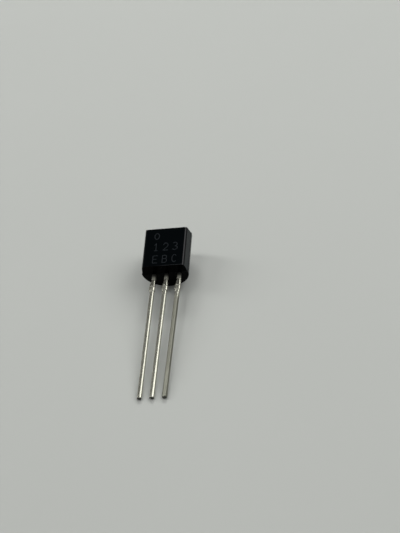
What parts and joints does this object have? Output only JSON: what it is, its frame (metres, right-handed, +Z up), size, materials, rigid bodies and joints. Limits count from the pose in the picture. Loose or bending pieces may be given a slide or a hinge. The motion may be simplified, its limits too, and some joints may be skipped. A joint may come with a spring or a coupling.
{
  "type": "to-92 transistor",
  "caption": "Small through-hole transistor: a D-shaped black epoxy body on a row of straight tinned leads, lying flat side up on its round back and lead tips.",
  "frame": {"origin": "on the resting surface, under the centre of the part's bounding box", "axes": "+X across the body, to the right when the flat side is up and the leads point at the viewer; +Y from the lead tips to the body's far end; +Z up"},
  "size_m": [0.0046, 0.0188, 0.004],
  "materials": {
    "epoxy": "fine matt moulded black epoxy, smoother on the flat face",
    "tinned_lead": "solder-dipped tin coat, softly wavy, duller on the bare necks",
    "die_solder": "dull solder fillet",
    "silicon": "polished silicon with metal bond pads",
    "gold_wire": "bright drawn gold wire"
  },
  "bodies": {
    "root": {"moulded_body": "epoxy", "emitter_lead": "tinned_lead", "base_lead": "tinned_lead", "collector_lead": "tinned_lead", "die_attach": "die_solder", "silicon_die": "silicon", "emitter_wire": "gold_wire", "base_wire": "gold_wire"}
  },
  "joints": []
}
